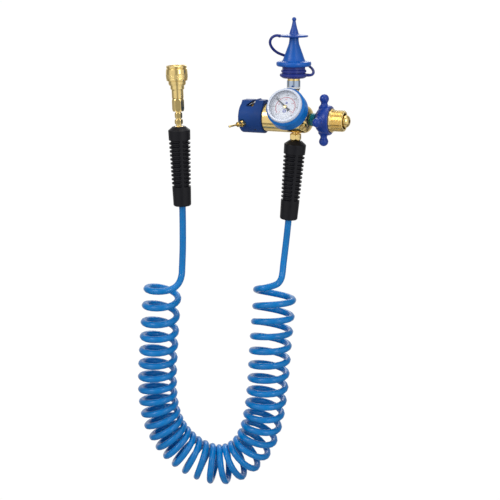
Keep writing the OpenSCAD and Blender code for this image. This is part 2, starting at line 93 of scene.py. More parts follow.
HANG_TURN = math.radians(22)
NEAR_LEAN = math.radians(4.5)
NEAR_Z = -25.1
GRIP_LEN = 94
POINTER_Z = 37.5
SOCKET_Z = 161
FOIL_TIP_Z = 20

outlet_x = middle("outlet_fitting").x
gauge_axis = -joint_axis("pointer_turn")
foil_axis = -joint_axis("foil_nozzle_push")
far_axis = -joint_axis("sleeve_slide")
ALONG_X = frame_at((0, 0, 0), X, -Z)
NOZZLE = Matrix.Translation((mount_place("latex_nozzle").x, 0, 0))
GAUGE = frame_at(joint_place("pointer_turn") - gauge_axis * POINTER_Z * MM, gauge_axis)
FOIL = frame_at(mount_place("foil_nozzle") - foil_axis * FOIL_TIP_Z * MM, foil_axis)
RELIEF = frame_at((middle("relief_poppet").x, 0, 0), joint_axis("relief_lift"))
OUTLET = Matrix.Translation((outlet_x, 0, 0)) @ Matrix.Rotation(HANG_TURN, 4, "Z")
NEAR = OUTLET @ Matrix.Translation((0, 0, NEAR_Z * MM)) @ Matrix.Rotation(NEAR_LEAN, 4, "Y")
FAR = frame_at(mount_place("coupler_socket") - far_axis * SOCKET_Z * MM, far_axis, OUTLET.to_3x3() @ X)
FAR_GRIP = FAR @ Matrix.Translation((0, 0, GRIP_LEN * MM))


# ---- Camera ----

def add_camera():
    azimuth, elevation, distance = math.radians(22), math.radians(13.75), 1.3
    aim = Vector((-0.0766, -0.0647, -0.1449))
    back = Vector((
        math.sin(azimuth) * math.cos(elevation),
        -math.cos(azimuth) * math.cos(elevation),
        math.sin(elevation),
    ))
    data = bpy.data.cameras.new("camera")
    data.sensor_width = 36
    data.lens = 81.4
    data.clip_end = 100
    camera = bpy.data.objects.new("camera", data)
    camera.location = aim + back * distance
    camera.rotation_mode = "QUATERNION"
    camera.rotation_quaternion = (-back).to_track_quat("-Z", "Y")
    bpy.context.scene.collection.objects.link(camera)
    bpy.context.scene.camera = camera


add_camera()


# ---- Materials ----

def material(name, colour, rough, **settings):
    """A Principled material; settings are the names of its sockets, with _ for a space."""
    made = bpy.data.materials.new(name)
    made.use_nodes = True
    shader = made.node_tree.nodes["Principled BSDF"]
    shader.inputs["Base Color"].default_value = (*colour, 1)
    shader.inputs["Roughness"].default_value = rough
    for key, value in settings.items():
        shader.inputs[key.replace("_", " ")].default_value = value
    made.diffuse_color = (*colour, 1)
    return made


def add_node(made, kind, **inputs):
    node = made.node_tree.nodes.new(kind)
    for key, value in inputs.items():
        node.inputs[key.replace("_", " ")].default_value = value
    return node


def noise(made, scale, detail=4, stretch=(1, 1, 1)):
    """Noise in the object's own space, in which a metre is 1."""
    tree = made.node_tree
    place = add_node(made, "ShaderNodeTexCoord")
    mapping = add_node(made, "ShaderNodeMapping")
    mapping.inputs["Scale"].default_value = stretch
    texture = add_node(made, "ShaderNodeTexNoise", Scale=scale, Detail=detail)
    tree.links.new(place.outputs["Object"], mapping.inputs["Vector"])
    tree.links.new(mapping.outputs["Vector"], texture.inputs["Vector"])
    return texture.outputs["Fac"]


def ranged(made, value, low, high, start=0.3, end=0.7):
    node = add_node(made, "ShaderNodeMapRange", To_Min=low, To_Max=high, From_Min=start, From_Max=end)
    made.node_tree.links.new(value, node.inputs["Value"])
    return node.outputs["Result"]


def mottled(made, value, colour_a, colour_b):
    """The base colour runs from colour_a to colour_b with value."""
    tree = made.node_tree
    mix = tree.nodes.new("ShaderNodeMix")
    mix.data_type = "RGBA"
    mix.inputs[6].default_value = (*colour_a, 1)
    mix.inputs[7].default_value = (*colour_b, 1)
    tree.links.new(ranged(made, value, 0, 1), mix.inputs[0])
    tree.links.new(mix.outputs[2], tree.nodes["Principled BSDF"].inputs["Base Color"])


def worn(made, value, low, high):
    """The roughness runs from low to high with value."""
    shader = made.node_tree.nodes["Principled BSDF"]
    made.node_tree.links.new(ranged(made, value, low, high), shader.inputs["Roughness"])


def bumped(made, value, depth, strength=1.0):
    tree = made.node_tree
    bump = add_node(made, "ShaderNodeBump", Strength=strength, Distance=depth)
    tree.links.new(value, bump.inputs["Height"])
    tree.links.new(bump.outputs["Normal"], tree.nodes["Principled BSDF"].inputs["Normal"])


def shade(colour, factor):
    return tuple(min(1, c * factor) for c in colour)


def metal(name, colour, rough, stretch=(1, 1, 1), marks=0.00002):
    """Polished metal with fine marks, drawn out across stretch, and hazy patches."""
    made = material(name, colour, rough, Metallic=1.0)
    mottled(made, noise(made, 90), shade(colour, 0.93), shade(colour, 1.05))
    worn(made, noise(made, 260, 6), rough * 0.7, rough * 1.5)
    bumped(made, noise(made, 1400, 3, stretch), marks, 0.35)
    return made


def plastic(name, colour, rough, grain=0.00003, scale=900, **settings):
    """Moulded plastic or rubber with a fine grain and a slight change of tone."""
    made = material(name, colour, rough, **settings)
    mottled(made, noise(made, 45), shade(colour, 0.88), shade(colour, 1.1))
    worn(made, noise(made, 180, 5), rough * 0.8, rough * 1.25)
    bumped(made, noise(made, scale, 3), grain, 0.5)
    return made


BRASS = (0.98, 0.72, 0.29)
brass = metal("brass", BRASS, 0.16)
turned_brass = metal("turned_brass", BRASS, 0.17, (6, 0.5, 0.5), 0.00002)
bright_brass = metal("bright_brass", (0.98, 0.73, 0.30), 0.13)
chrome = metal("chrome", (0.50, 0.60, 0.76), 0.06)
steel = metal("steel", (0.58, 0.59, 0.61), 0.25)
dark_steel = metal("dark_steel", (0.10, 0.10, 0.11), 0.35)
bronze = plastic("sintered_bronze", (0.42, 0.26, 0.13), 0.6, 0.0001, 2500, Metallic=1.0)
cap_blue = plastic("cap_blue", (0.007, 0.050, 0.225), 0.52, 0.00004, 700, Specular_IOR_Level=0.2)
wheel_blue = plastic("wheel_blue", (0.008, 0.048, 0.320), 0.30, 0.00003, 500, Specular_IOR_Level=0.4)
teal = plastic("teal_plastic", (0.0, 0.215, 0.290), 0.3)
white_nylon = plastic("white_nylon", (0.80, 0.81, 0.80), 0.4)
boot_blue = plastic("boot_blue", (0.0, 0.155, 0.540), 0.42, 0.00004, 800, Specular_IOR_Level=0.35)
nozzle_blue = plastic("nozzle_blue", (0.002, 0.098, 0.450), 0.33, 0.00003, 600, Specular_IOR_Level=0.4)
tip_blue = plastic("tip_blue", (0.012, 0.066, 0.340), 0.33, 0.00003, 600, Specular_IOR_Level=0.4)
tether_blue = plastic("tether_blue", (0.016, 0.032, 0.235), 0.35, 0.00003, 600, Specular_IOR_Level=0.4)
grip_black = plastic("grip_black", (0.0050, 0.0050, 0.0080), 0.42, 0.00005, 1100, Specular_IOR_Level=0.24)
seal_black = plastic("seal_black", (0.012, 0.012, 0.012), 0.5)
dial_white = plastic("dial_white", (0.80, 0.83, 0.90), 0.5, 0.00001)
print_black = plastic("print_black", (0.02, 0.025, 0.03), 0.5)
print_red = plastic("print_red", (0.55, 0.06, 0.09), 0.5)
print_blue = plastic("print_blue", (0.03, 0.06, 0.42), 0.5)
print_green = plastic("print_green", (0.07, 0.13, 0.06), 0.5)


def hose_material():
    colour = (0.0, 0.190, 0.545)
    made = plastic("hose_azure", colour, 0.19, 0.00022, 330, Coat_Weight=0.08, Specular_IOR_Level=0.3)
    shader = made.node_tree.nodes["Principled BSDF"]
    shader.inputs["Subsurface Weight"].default_value = 0.08
    shader.inputs["Subsurface Radius"].default_value = (0.0005, 0.001, 0.002)
    return made


def glass_material(name, colour, rough, alpha):
    made = material(name, colour, rough, Alpha=alpha, IOR=1.5)
    worn(made, noise(made, 120), rough * 0.8, rough * 1.3)
    made.surface_render_method = "BLENDED"
    return made


hose_azure = hose_material()
bezel_clear = glass_material("bezel_clear", (0.74, 0.80, 0.93), 0.10, 0.84)
lens_clear = glass_material("lens_clear", (0.80, 0.85, 0.95), 0.03, 0.07)


# ---- Mesh tools ----

def add_object(name, data, look, body, replaces=()):
    made = bpy.data.objects.new(name, data)
    bpy.context.scene.collection.objects.link(made)
    data.materials.clear()
    data.materials.append(look)
    if body:
        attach(made, body)
    if replaces:
        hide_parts(*replaces)
    return made


def add_mesh(name, shape, at, look, body, replaces=(), sharp=38):
    """A piece from (points in mm, faces), placed by the frame at."""
    points, faces = shape
    data = bpy.data.meshes.new(name)
    data.from_pydata([at @ (Vector(p) * MM) for p in points], [], faces)
    data.validate()
    data.shade_smooth()
    data.set_sharp_from_angle(angle=math.radians(sharp))
    made = add_object(name, data, look, body, replaces)
    evened = made.modifiers.new("even_shading", "WEIGHTED_NORMAL")
    evened.keep_sharp = True
    return made


def vectors(points):
    return [Vector(p) for p in points]


def arc(r, z, radius, start, end, steps):
    """Points on an arc round (r, z), from one angle to another in degrees."""
    angles = [math.radians(start + (end - start) * k / steps) for k in range(steps + 1)]
    return [(r + radius * math.cos(a), z + radius * math.sin(a)) for a in angles]


def rounded(corners, radius, closed=False, steps=4):
    """The outline again, with each corner rounded; a corner of three numbers gives its own radius."""
    out = []
    count = len(corners)
    for i, corner in enumerate(corners):
        at = Vector(corner[:2])
        own = corner[2] if len(corner) > 2 else radius
        if own == 0 or (not closed and i in (0, count - 1)):
            out.append(tuple(at))
            continue
        before = Vector(corners[i - 1][:2]) - at
        after = Vector(corners[(i + 1) % count][:2]) - at
        turn = before.angle(after, math.pi)
        reach = min(own / max(math.tan(turn / 2), 0.05), 0.48 * before.length, 0.48 * after.length)
        start, end = at + before.normalized() * reach, at + after.normalized() * reach
        for k in range(steps + 1):
            t = k / steps
            out.append(tuple(start * (1 - t) ** 2 + at * 2 * t * (1 - t) + end * t * t))
    return out


def turned(outline, sides=96, closed=False, shape=None):
    """A solid of revolution about the local z. Its outline is points of radius and height, from axis
    to axis or, if closed, a ring's. shape(radius, height, angle) gives a point's new radius and height."""
    points, faces, rings = [], [], []
    for r, z in outline:
        if r < 1e-6:
            rings.append([len(points)])
            points.append((0, 0, z))
            continue
        rings.append(list(range(len(points), len(points) + sides)))
        for k in range(sides):
            angle = 2 * math.pi * k / sides
            rr, zz = shape(r, z, angle) if shape else (r, z)
            points.append((rr * math.cos(angle), rr * math.sin(angle), zz))
    pairs = list(zip(rings, rings[1:])) + ([(rings[-1], rings[0])] if closed else [])
    for a, b in pairs:
        for k in range(sides):
            n = (k + 1) % sides
            face = [a[k % len(a)], a[n % len(a)], b[n % len(b)], b[k % len(b)]]
            faces.append(list(dict.fromkeys(face)))
    return points, [f for f in faces if len(f) > 2]


def dense(outline, step):
    """The outline with points no more than step apart."""
    out = [outline[0]]
    for a, b in zip(outline, outline[1:]):
        count = max(1, math.ceil(math.dist(a, b) / step))
        out += [tuple(a[i] + (b[i] - a[i]) * k / count for i in (0, 1)) for k in range(1, count + 1)]
    return out


def refine(outline, low, high, step=0.45, bore=3.5):
    """A closed outline with more points between two heights, outside the bore, for a shape to move."""
    out = []
    for a, b in zip(outline, outline[1:] + outline[:1]):
        out.append(a)
        outside = a[0] > bore and b[0] > bore
        if outside and low - 0.3 <= min(a[1], b[1]) and max(a[1], b[1]) <= high + 0.3:
            out += dense([a, b], step)[1:-1]
    return out


def faceted(flats, low, high, chamfer=0.5, turn=0.0, faces=6):
    """A shape for turned(): flat faces between two heights, with chamfered ends; a hexagon unless told."""
    half = flats / 2
    corner = half / math.cos(math.pi / faces)
    sector = 2 * math.pi / faces

    def shape(r, z, angle):
        if not low - 1e-6 <= z <= high + 1e-6 or r < half * 0.9:
            return r, z
        a = (angle - turn) % sector - sector / 2
        flat = half / math.cos(a)
        edge = min(z - low, high - z)
        limit = half + (corner * 0.985 - half) * min(1, 0.15 + edge / chamfer * 0.5)
        return min(flat, limit), z

    return shape


def both(*shapes):
    """A shape for turned() that applies several in turn."""
    def shape(r, z, angle):
        for one in shapes:
            r, z = one(r, z, angle)
        return r, z

    return shape


def smooth_line(points, steps):
    """Points on a smooth curve through the points, steps to each stretch."""
    ends = [points[0] * 2 - points[1]] + list(points) + [points[-1] * 2 - points[-2]]
    out = []
    for a, b, c, d in zip(ends, ends[1:], ends[2:], ends[3:]):
        for k in range(steps):
            t = k / steps
            out.append(0.5 * (2 * b + (c - a) * t + (2 * a - 5 * b + 4 * c - d) * t * t
                              + (3 * b - a - 3 * c + d) * t ** 3))
    return out + [points[-1].copy()]


def swept(line, radius, sides=12):
    """A round tube along a line of points, closed at both ends. radius is a number, or a function of how
    far along the points it is, from 0 to 1."""
    points, faces = [], []
    side = (line[1] - line[0]).orthogonal().normalized()
    for i, p in enumerate(line):
        along = (line[min(i + 1, len(line) - 1)] - line[max(i - 1, 0)]).normalized()
        side = (side - side.dot(along) * along).normalized()
        other = along.cross(side)
        r = radius(i / (len(line) - 1)) if callable(radius) else radius
        for k in range(sides):
            a = 2 * math.pi * k / sides
            points.append(p + r * (side * math.cos(a) + other * math.sin(a)))
    for i in range(len(line) - 1):
        for k in range(sides):
            n = (k + 1) % sides
            faces.append([i * sides + k, i * sides + n, (i + 1) * sides + n, (i + 1) * sides + k])
    faces += [list(range(sides))[::-1], [len(points) - sides + k for k in range(sides)]]
    return points, faces


def joined(*shapes):
    """Several shapes of points and faces as one."""
    points, faces = [], []
    for more_points, more_faces in shapes:
        faces += [[i + len(points) for i in f] for f in more_faces]
        points += list(more_points)
    return points, faces


def softened(node, name, voxel, rounds, look, body):
    """A copy of a CAD node with its edges softened, as a moulded part's are."""
    source = frame["nodes"][node]
    copy = bpy.data.objects.new("copy", source.data.copy())
    bpy.context.scene.collection.objects.link(copy)
    remesh = copy.modifiers.new("remesh", "REMESH")
    remesh.mode = "VOXEL"
    remesh.voxel_size = voxel * MM
    smooth = copy.modifiers.new("smooth", "SMOOTH")
    smooth.factor = 0.5
    smooth.iterations = rounds
    graph = bpy.context.evaluated_depsgraph_get()
    data = bpy.data.meshes.new_from_object(copy.evaluated_get(graph))
    data.name = name
    bpy.data.objects.remove(copy)
    data.shade_smooth()
    return add_object(name, data, look, body, (node,))


# ---- The coiled hose ----

HOSE_D = 7.94
NEAR_TURN_R = 22.6
FAR_TURN_R = 19.5
FIRST_TURN = -0.15
LAST_TURN = 32.82
# Where turns, counted from the first inner end, stand along the middle line, as shares of its length
pace = [
    (-1, -0.02), (0, 0.02), (2, 0.096), (6, 0.23), (10, 0.353), (14, 0.467), (18, 0.568), (22, 0.66),
    (26, 0.765), (30, 0.89), (32, 0.966), (33, 1.005),
]
# How far the turns' fronts lean back along the middle line, in degrees, by share of its length
leaning = [(0, 13.8), (0.17, 6), (0.3, 1), (0.45, 0), (0.6, 0), (0.72, -1.5), (0.85, 3), (1.1, 8)]

# Routes in the frame OUTLET: the coil's middle line, and the two tails down to where they join it
coil_route = [
    (-23, 0, -196), (-23, 0, -206), (-24, 0, -225), (-26, 0, -250), (-28, 0, -275),
    (-29.5, 0, -300), (-31.5, 0, -330), (-35, 0, -360), (-41, 0, -388), (-52, 0, -411),
    (-69, 0, -427), (-90, 0, -433), (-112, 0, -428), (-133, 0, -415), (-150, 0, -396),
    (-161, 0, -373), (-166, 0, -346), (-166.5, 0, -315), (-164.5, 0, -280), (-161.5, 0, -240),
    (-159, 0, -212), (-158, 0, -206), (-158, 0, -198),
]
near_route = [
    (-2.2, 0, -53), (-4.2, 0, -78), (-5.8, 0, -98), (-7.3, 0, -118), (-9, -0.5, -136),
    (-11, -2.5, -154), (-13.2, -5.8, -172), (-14.6, -9, -184),
]
near_bend = [(-16.6, -12.8, -190.2), (-22.0, -17.2, -194.8)]
far_route = [
    (-134.8, 0, -37), (-134.3, 0, -55), (-133.8, 0, -74), (-133.4, 0, -88), (-133, 0, -102.5),
    (-132.9, 0, -118), (-133, 0, -136), (-133.3, 0, -154), (-133.9, 0, -168), (-134.4, -0.4, -178),
]
far_bend = [(-135.0, -2.4, -187.0), (-137.4, -7.4, -194.2), (-142.2, -13.0, -199.0)]


def points_along(line, places):
    """Points at rising shares of a line's length."""
    lengths = [0]
    for a, b in zip(line, line[1:]):
        lengths.append(lengths[-1] + (b - a).length)
    out = []
    i = 0
    for place in places:
        at = place * lengths[-1]
        while i < len(line) - 2 and lengths[i + 1] < at:
            i += 1
        t = (at - lengths[i]) / (lengths[i + 1] - lengths[i])
        out.append(line[i].lerp(line[i + 1], t))
    return out


def read_between(pairs, places):
    """Values at rising places, on a smooth curve through a few pairs of place and value."""
    curve = smooth_line(vectors(pairs), 8)
    out = []
    i = 0
    for place in places:
        while i < len(curve) - 2 and curve[i + 1].x < place:
            i += 1
        t = (place - curve[i].x) / (curve[i + 1].x - curve[i].x)
        out.append(curve[i].y + (curve[i + 1].y - curve[i].y) * t)
    return out


def helix_points(per_turn=20):
    """The coil's turns, each leaning as it hangs."""
    count = round((LAST_TURN - FIRST_TURN) * per_turn)
    turns = [FIRST_TURN + (LAST_TURN - FIRST_TURN) * k / count for k in range(count + 1)]
    places = read_between(pace, turns)
    leans = read_between(leaning, places)
    centres = points_along(smooth_line(vectors(coil_route), 12), places)
    out = []
    for k, turn in enumerate(turns):
        along = (centres[min(k + per_turn, count)] - centres[max(k - per_turn, 0)]).normalized()
        outward = Vector((-along.z, 0, along.x))
        lean = math.radians(leans[k])
        front = -Y * math.cos(lean) - along * math.sin(lean)
        angle = math.pi * (1 + 2 * turn)
        radius = NEAR_TURN_R + (FAR_TURN_R - NEAR_TURN_R) * places[k]
        out.append(centres[k] + radius * (math.cos(angle) * outward + math.sin(angle) * front))
    return out


def hose_line():
    """The hose's middle line: a tail, the turns and the other tail, smoothed where they join."""
    turns = helix_points()
    near_end = vectors(near_route + near_bend) + turns[:3]
    far_end = turns[-3:] + vectors((far_route + far_bend)[::-1])
    return smooth_line(near_end, 4)[:-1] + turns[2:-3] + smooth_line(far_end, 4)


def line_length(line):
    return sum((b - a).length for a, b in zip(line, line[1:]))


def add_hose():
    line = hose_line()
    data = bpy.data.curves.new("hose", "CURVE")
    data.dimensions = "3D"
    data.bevel_depth = HOSE_D / 2 * MM
    data.bevel_resolution = 5
    data.use_fill_caps = True
    spline = data.splines.new("POLY")
    spline.points.add(len(line) - 1)
    for point, place in zip(spline.points, line):
        point.co = (*(OUTLET @ (place * MM)), 1)
    spline.use_smooth = True
    nodes = ("hose_tail_near", "hose_coil", "hose_tail_far")
    return add_object("hose", data, hose_azure, ROOT, nodes), line


hose, hose_centre = add_hose()
print("hose length, m:", round(line_length(hose_centre) * MM, 3))


# ---- Grips ----

GRIP_RIB = math.radians(-78)


def grip_shape(r, z, angle):
    """Grooves round the grip's middle that fade out at a rib on its front and one on its back."""
    depth = 2.1
    pitch = 4.7
    open_share = 0.6
    top = -16.0
    bottom = top - 12 * pitch
    rib_half = 0.12
    if r < 9 or not bottom < z < top + 1:
        return r, z
    phase = (top - z) / pitch % 1
    cut = min(1, 2.4 * math.sin(math.pi * phase / open_share)) if phase < open_share else 0
    side = abs(math.sin(angle - GRIP_RIB))
    fade = min(1, max(0, side / rib_half - 1))
    return r - depth * cut * fade * fade * (3 - 2 * fade), z


def add_grip(name, node, at):
    """A grooved grip with a faceted shoulder, from its mouth at 0 down to the hose."""
    wide = 13.1
    narrow = 10.4
    shoulder = -5.4
    outer = rounded([
        (5.6, -0.2), (5.6, 0, 0.3), (7.3, 0, 0.8), (wide - 0.2, -4.5, 1.0), (wide - 0.25, -6.5),
        (narrow + 0.05, 1.2 - GRIP_LEN, 0.8), (narrow - 0.9, -GRIP_LEN, 0.8), (4.6, -GRIP_LEN, 0.4),
        (4.1, 2 - GRIP_LEN),
    ], 0.5)
    inner = [(4.1, -60.0), (4.1, -28.0), (5.6, -27.5), (5.6, -8.0)]
    facets = faceted(2 * wide * 0.985, -8, 0, 4.0, GRIP_RIB, 8)

    def shape(r, z, angle):
        if r > 7 and z > shoulder:
            r = min(r, max(facets(r, z, angle)[0], r - 0.25))
        return grip_shape(r, z, angle)

    solid = turned(dense(outer, 0.42) + inner, 144, True, shape)
    return add_mesh(name, solid, at, grip_black, ROOT, (node,), 50)


add_grip("near_hose_grip", "near_grip", NEAR)
far_grip = add_grip("far_hose_grip", "far_grip", FAR_GRIP)


# ---- Quick coupler and hose fittings ----

def add_far_ferrule():
    outline = rounded([
        (1.6, 70), (5, 70), (5, 94), (3.2, 94.2), (3.2, 96.5, 0.2), (4.7, 96.5, 0.2), (4.7, 102.2, 0.2),
        (2.9, 102.2, 0.2), (1.6, 102.3),
    ], 0.25, True)
    solid = turned(refine(outline, 96.5, 102.2), 144, True, faceted(8.5, 96.5, 102.2, 0.9))
    return add_mesh("far_hose_ferrule", solid, FAR, bright_brass, ROOT, ("far_ferrule",))


def add_far_nipple():
    outline = rounded([
        (1.6, 102.35), (3, 102.35), (3, 103.3, 0.1), (4.3, 103.3, 0.2), (4.3, 110, 0.2), (3, 110, 0.1),
        (3, 111.6, 0.1), (6.9, 111.6, 0.3), (6.9, 126.15, 0.3), (4.75, 126.2, 0.1), (4.75, 132, 0.3),
        (1.6, 132),
    ], 0.2, True)
    shape = both(faceted(7.8, 103.3, 110, 0.9), faceted(12.4, 111.6, 126.15, 1.5))
    solid = turned(refine(refine(outline, 103.3, 110), 111.6, 126.15), 144, True, shape)
    return add_mesh("coupler_nipple", solid, FAR, bright_brass, ROOT, ("far_nipple",))


def add_coupler_body():
    outline = rounded([
        (4.85, 126.4), (6.5, 126.3, 0.3), (6.85, 127), (6.85, 136, 0.3), (7.4, 137, 0.2), (8, 137, 0.2),
        (8, 141.4, 0.2), (9.45, 141.5, 0.25), (9.45, 143.4, 0.25), (8.2, 143.4, 0.2), (8.2, 162.6, 0.3),
        (7.8, 163.2, 0.2), (6.9, 163.2, 0.2), (6.6, 162.8, 0.1), (6.6, 158.8, 0.05), (6.0, 158.8, 0.15),
        (6.0, 151), (7.1, 151, 0.05), (7.1, 149, 0.05), (6, 149), (6, 146.5), (4.2, 146), (4.2, 134),
        (1.8, 133.9), (1.8, 132), (4.85, 132, 0.05),
    ], 0.1, True)
    solid = turned(outline, 128, True)
    return add_mesh("coupler_barrel", solid, FAR, bright_brass, ROOT, ("coupler_body",))


def knurl(low, high, depth, around, pitch):
    """A shape for turned(): a diamond knurl between two heights."""
    def shape(r, z, angle):
        if r < 11 or not low <= z <= high:
            return r, z
        fade = min(1, (z - low) / 0.5, (high - z) / 0.5)
        lean = math.pi * (z - low) / pitch
        diamonds = abs(math.sin(angle * around / 2 + lean)) * abs(math.sin(angle * around / 2 - lean))
        return r - depth * fade * (1 - diamonds), z

    return shape


def add_coupler_sleeve():
    """The sleeve, with a bowed and knurled waist between its skirt and its lip."""
    skirt = rounded([
        (9.65, 142.6), (9.9, 142.6, 0.2), (10.1, 143, 0.3), (10.1, 146.3, 0.3), (11.6, 146.6, 0.3),
    ], 0.2)
    waist = dense(arc(-28, 153.4, 40.6, -9.3, 9.3, 24), 0.3)
    lip = rounded([
        (12.0, 160.2), (11.2, 160.45, 0.15), (11.2, 161, 0.2), (11.8, 161.3, 0.2), (11.8, 163.6, 0.3),
        (11.3, 164, 0.2), (9.75, 164, 0.2), (9.6, 163.6), (9.6, 159), (8.3, 159), (8.3, 152.9),
        (9.6, 152.9), (9.6, 143),
    ], 0.1)
    solid = turned(skirt[:-1] + waist + lip[1:], 288, True, knurl(149.2, 154.6, 0.32, 56, 1.35))
    node = "coupler_sleeve"
    return add_mesh("coupler_slide_sleeve", solid, FAR, bright_brass, "sleeve", (node,), 60)


far_pieces = [far_grip, add_far_ferrule(), add_far_nipple(), add_coupler_body(), add_coupler_sleeve()]


# ---- Outlet nut ----

def add_outlet():
    """The nut between the body and the near grip: a ball with six faces."""
    outline = rounded([(1.6, -26.4), (3, -26.4), (3, -24.65)], 0.1) + arc(3.2, -20.6, 4.6, -60, 60, 22)
    outline += rounded([(5.2, -16.6), (4, -16.5), (4, -9.6), (1.6, -9.6)], 0.1)
    faces = faceted(13, -24.7, -16.5, 1.0, math.radians(30))

    def shape(r, z, angle):
        return (min(r, faces(r, z, angle)[0]), z) if r > 5.3 else (r, z)

    solid = turned(outline, 144, True, shape)
    add_mesh("outlet_nut", solid, OUTLET, bright_brass, ROOT, ("outlet_fitting",))


add_outlet()


# ---- End cap, handwheel and inlet ----

softened("end_cap", "regulator_end_cap", 0.42, 3, cap_blue, ROOT)
softened("handwheel", "inlet_handwheel", 0.6, 10, wheel_blue, "handwheel")


def thread_shape(r, z, angle):
    """A right-hand thread on the nut's end, which fades in at both ends."""
    pitch = 1.814
    depth = 0.95
    start = 0.2
    end = 13.9
    if r < 11 or not start <= z <= end:
        return r, z
    phase = (z / pitch - angle / (2 * math.pi)) % 1
    crest = min(1, max(0, 1.6 * abs(2 * phase - 1) - 0.2))
    fade = min(1, (z - start) / 1.2, (end - z) / 0.9)
    return r - depth * crest * max(0, fade), z


def add_inlet_nut():
    flange = rounded([
        (5.1, -20), (7, -20), (7, -17.0), (9.5, -17.0, 0.1), (9.5, -5.0, 0.1), (13.6, -5, 0.4),
        (13.6, 0, 0.5), (12.3, 0.02, 0.1),
    ], 0.2)
    wall = dense([(12.25, 0.1), (12.25, 13.0), (11.3, 13.95)], 0.16)
    bore = rounded([(11.3, 13.95), (9.4, 14, 0.2), (9.2, 13.7), (9.2, 1.8), (5.1, 1.8), (5.1, -20)], 0.1)
    shape = both(faceted(19, -17.05, -4.95, 0.8), thread_shape)
    solid = turned(refine(flange, -17, -5, 1.0) + wall + bore[1:-1], 160, True, shape)
    add_mesh("inlet_nut_body", solid, ALONG_X, bright_brass, "handwheel", ("inlet_nut",), 50)


def add_spacer():
    """The teal collar, with small flutes round it."""
    flutes = 18
    outline = rounded([
        (5.02, -26), (6.9, -26), (7.5, -25.4), (7.5, -21.1), (6.9, -20.5), (5.02, -20.5),
    ], 0.25, True)

    def shape(r, z, angle):
        return (r - 0.12 * (1 + math.cos(flutes * angle)), z) if r > 7 else (r, z)

    solid = turned(outline, 108, True, shape)
    add_mesh("spacer_collar", solid, ALONG_X, teal, ROOT, ("spacer_ring",))


add_inlet_nut()
add_spacer()


# ---- Gauge ----

def add_gauge_boot():
    outer = 23
    inner = outer - 1.4
    outline = rounded([
        (6.2, 21.5), (inner, 21.5, 1.2), (outer, 23.4, 1.0), (outer, 36.8, 1.6), (outer - 1.6, 39.2, 1.2),
        (20.6, 39.4, 0.3), (20.6, 38.7, 0.1), (inner, 38.6), (inner, 22.9), (6.2, 22.9),
    ], 0.2, True)
    solid = turned(outline, 160, True)
    add_mesh("gauge_rubber_boot", solid, GAUGE, boot_blue, ROOT, ("gauge_boot",))


def add_bezel():
    outline = rounded([
        (19.6, 38.7), (20.5, 38.7), (20.5, 41.6, 1.0), (19.6, 43, 0.9), (17.9, 43, 0.4), (17.4, 42.4, 0.2),
        (19.6, 42.3, 0.1),
    ], 0.2, True)
    solid = turned(outline, 160, True)
    add_mesh("gauge_bezel_ring", solid, GAUGE, bezel_clear, ROOT, ("gauge_bezel",))


def add_lens():
    """The window, flat below and crowned above."""
    radius = 19.55
    edge = 41.85
    rise = 0.55
    steps = 14
    shares = [math.sin(math.pi / 2 * k / steps) for k in range(steps + 1)]
    crown = [(radius * share, edge + rise * math.cos(math.pi / 2 * share)) for share in shares]
    outline = [(0, 40.9), (radius, 40.9)] + crown[::-1]
    add_mesh("gauge_window", turned(outline, 128), GAUGE, lens_clear, ROOT, ("gauge_lens",))


add_gauge_boot()
add_bezel()
add_lens()

DIAL_Z = 36.62
ZERO_ANGLE = 225
SWEEP = 270


def bar(inner, outer, angle, width, height=0.06):
    """A printed line from one radius to another, as a thin solid."""
    a = math.radians(angle)
    out = Vector((math.cos(a), math.sin(a), 0))
    side = Vector((-math.sin(a), math.cos(a), 0))
    flat = [
        out * inner - side * width / 2,
        out * outer - side * width / 2,
        out * outer + side * width / 2,
        out * inner + side * width / 2,
    ]
    points = [p + Z * DIAL_Z for p in flat] + [p + Z * (DIAL_Z + height) for p in flat]
    return points, [[3, 2, 1, 0], [4, 5, 6, 7], [0, 1, 5, 4], [1, 2, 6, 5], [2, 3, 7, 6], [3, 0, 4, 7]]


def band(inner, outer, start, end, height=0.05):
    """A printed arc between two angles, as a thin solid."""
    steps = max(2, round(abs(end - start) / 3))
    points, faces = [], []
    for k in range(steps + 1):
        a = math.radians(start + (end - start) * k / steps)
        out = Vector((math.cos(a), math.sin(a), 0))
        points += [
            out * inner + Z * DIAL_Z,
            out * outer + Z * DIAL_Z,
            out * outer + Z * (DIAL_Z + height),
            out * inner + Z * (DIAL_Z + height),
        ]
    for k in range(steps):
        for i in range(4):
            n = (i + 1) % 4
            faces.append([4 * k + i, 4 * k + n, 4 * k + 4 + n, 4 * k + 4 + i])
    faces += [[3, 2, 1, 0], [4 * steps + i for i in range(4)]]
    return points, faces


def number(text, radius, angle, size):
    """A printed number at a radius and angle of the dial, upright."""
    half_height = 0.03
    curve = bpy.data.curves.new("number", "FONT")
    curve.body = text
    curve.size = size
    curve.extrude = half_height
    curve.align_x = "CENTER"
    curve.align_y = "CENTER"
    curve.resolution_u = 3
    holder = bpy.data.objects.new("number", curve)
    data = bpy.data.meshes.new_from_object(holder)
    a = math.radians(angle)
    at = Vector((radius * math.cos(a), radius * math.sin(a), DIAL_Z + half_height))
    shape = [v.co + at for v in data.vertices], [list(p.vertices) for p in data.polygons]
    bpy.data.objects.remove(holder)
    bpy.data.curves.remove(curve)
    bpy.data.meshes.remove(data)
    return shape


def scale_angle(share):
    return ZERO_ANGLE - SWEEP * share


def tick(k):
    """One of the black scale's ticks; every fifth is longer and wider."""
    if k % 5:
        return bar(16.6, 18.0, scale_angle(k / 30), 0.16)
    return bar(15.7, 18.0, scale_angle(k / 30), 0.3)


def shifted(shape, by):
    points, faces = shape
    return [p + Vector(by) for p in points], faces


